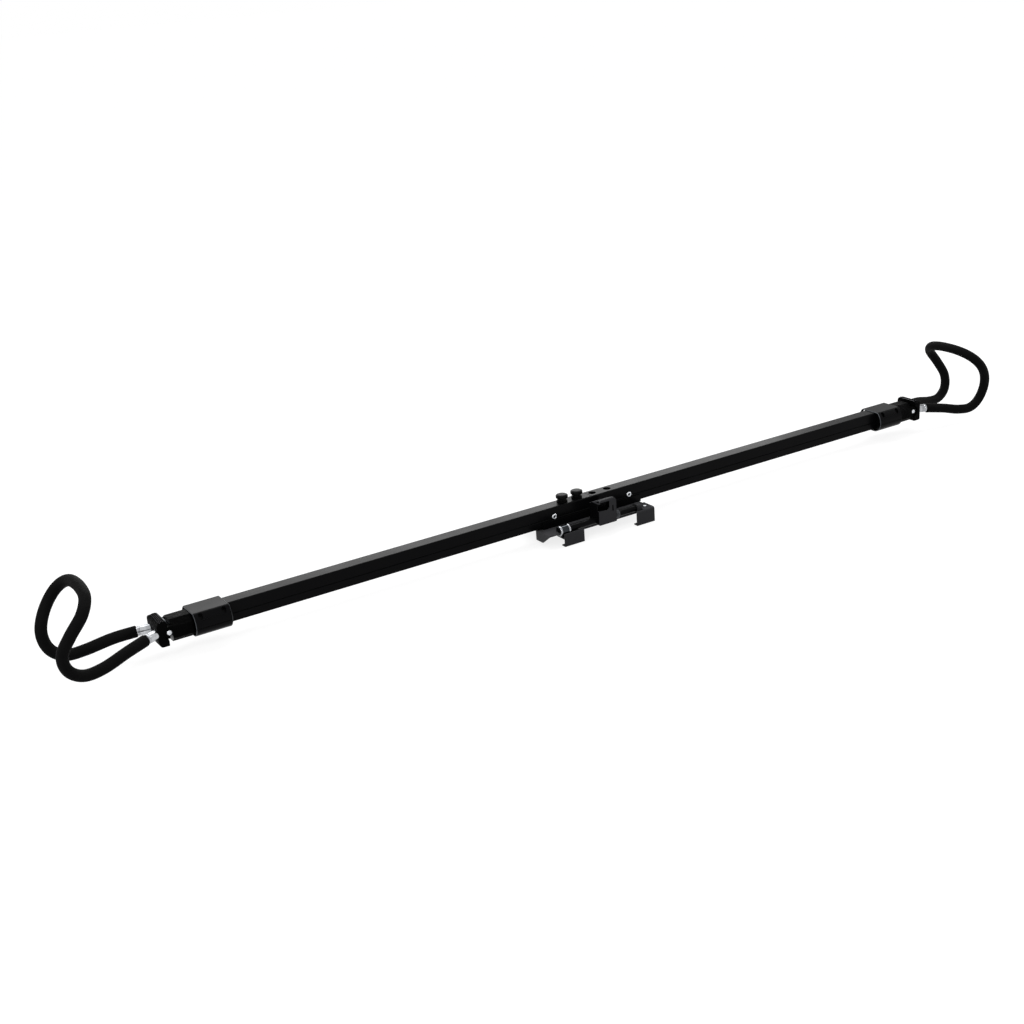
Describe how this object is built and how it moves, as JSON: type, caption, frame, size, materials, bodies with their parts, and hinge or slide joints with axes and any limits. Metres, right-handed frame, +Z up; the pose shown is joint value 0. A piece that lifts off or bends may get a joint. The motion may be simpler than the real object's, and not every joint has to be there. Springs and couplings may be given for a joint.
{
  "type": "pull up bar",
  "caption": "Long rack-mounted pull-up bar with a hinged foam grip loop at each end, telescopic arms and a clip-on centre bracket with pull pins and a release lever.",
  "frame": {"origin": "on the surface under the clips, below the middle of the bar", "axes": "+X along the bar towards its right-hand end, -Y towards the release lever, +Z up"},
  "size_m": [2.2926, 0.1774, 0.1886],
  "materials": {
    "bar_paint": "satin black powder coat",
    "black_steel": "black oxide and paint",
    "lever_paint": "satin black paint",
    "collar_paint": "satin black paint",
    "arm_steel": "textured black paint",
    "knuckle_steel": "textured black paint",
    "dark_screw": "black oxide",
    "black_plastic": "moulded",
    "zinc": "zinc plated",
    "spring_steel": "drawn wire",
    "chrome": "polished",
    "foam": "closed-cell foam"
  },
  "bodies": {
    "bar": {"left_bar_tube": "bar_paint", "right_bar_tube": "bar_paint", "joining_sleeve": "black_steel", "left_joint_rivet": "zinc", "right_joint_rivet": "zinc", "pin_bush_1": "black_steel", "pin_spring_1": "spring_steel", "pin_bush_2": "black_steel", "pin_spring_2": "spring_steel", "saddle_channel": "black_steel", "rack_plate": "black_steel", "front_right_clip": "black_steel", "back_left_clip": "black_steel", "back_right_clip": "black_steel", "front_left_clip": "black_steel", "front_right_clip_screw": "zinc", "back_left_clip_screw": "zinc", "back_right_clip_screw": "zinc", "front_left_clip_screw": "zinc", "lever_shaft": "black_steel", "shaft_bearing": "chrome", "shaft_bracket": "black_steel", "lever_spring": "spring_steel", "left_collar_upper_shell": "collar_paint", "left_collar_lower_shell": "collar_paint", "left_collar_liner": "black_plastic", "left_front_set_screw_1": "dark_screw", "left_front_set_screw_2": "dark_screw", "left_back_set_screw_1": "dark_screw", "left_back_set_screw_2": "dark_screw", "right_collar_upper_shell": "collar_paint", "right_collar_lower_shell": "collar_paint", "right_collar_liner": "black_plastic", "right_front_set_screw_1": "dark_screw", "right_front_set_screw_2": "dark_screw", "right_back_set_screw_1": "dark_screw", "right_back_set_screw_2": "dark_screw"},
    "left_arm": {"left_arm_tube": "bar_paint", "left_arm_head": "arm_steel", "left_hinge_bolt": "zinc", "left_hinge_nut": "zinc"},
    "right_arm": {"right_arm_tube": "bar_paint", "right_arm_head": "arm_steel", "right_hinge_bolt": "zinc", "right_hinge_nut": "zinc"},
    "left_loop": {"left_knuckle": "knuckle_steel", "left_loop_rod": "zinc", "left_front_ferrule": "chrome", "left_back_ferrule": "chrome", "left_foam_grip": "foam"},
    "right_loop": {"right_knuckle": "knuckle_steel", "right_loop_rod": "zinc", "right_front_ferrule": "chrome", "right_back_ferrule": "chrome", "right_foam_grip": "foam"},
    "pin_1": {"lock_pin_1": "zinc", "pin_knob_1": "black_plastic"},
    "pin_2": {"lock_pin_2": "zinc", "pin_knob_2": "black_plastic"},
    "lever": {"release_lever": "lever_paint"}
  },
  "joints": [
    {"name": "left_arm_slide", "type": "slide", "parent": "bar", "child": "left_arm", "axis": [-1, 0, 0], "range_m": [0, 0.15]},
    {"name": "left_loop_tilt", "type": "hinge", "parent": "left_arm", "child": "left_loop", "pos_m": [-0.935, 0, 0.052], "axis": [0, 1, 0], "range_deg": [-20, 20]},
    {"name": "right_arm_slide", "type": "slide", "parent": "bar", "child": "right_arm", "axis": [1, 0, 0], "range_m": [0, 0.15]},
    {"name": "right_loop_tilt", "type": "hinge", "parent": "right_arm", "child": "right_loop", "pos_m": [0.935, 0, 0.052], "axis": [0, -1, 0], "range_deg": [-20, 20]},
    {"name": "pin_1_pull", "type": "slide", "parent": "bar", "child": "pin_1", "axis": [0, 0, 1], "range_m": [0, 0.007], "stiffness_N_per_m": 500, "springref_m": -0.006, "deforming": ["pin_spring_1"]},
    {"name": "pin_2_pull", "type": "slide", "parent": "bar", "child": "pin_2", "axis": [0, 0, 1], "range_m": [0, 0.007], "stiffness_N_per_m": 500, "springref_m": -0.006, "deforming": ["pin_spring_2"]},
    {"name": "lever_turn", "type": "hinge", "parent": "bar", "child": "lever", "pos_m": [0, -0.05, 0.032], "axis": [1, 0, 0], "range_deg": [0, 25], "stiffness_Nm_per_rad": 0.8, "springref_deg": -17.19}
  ]
}
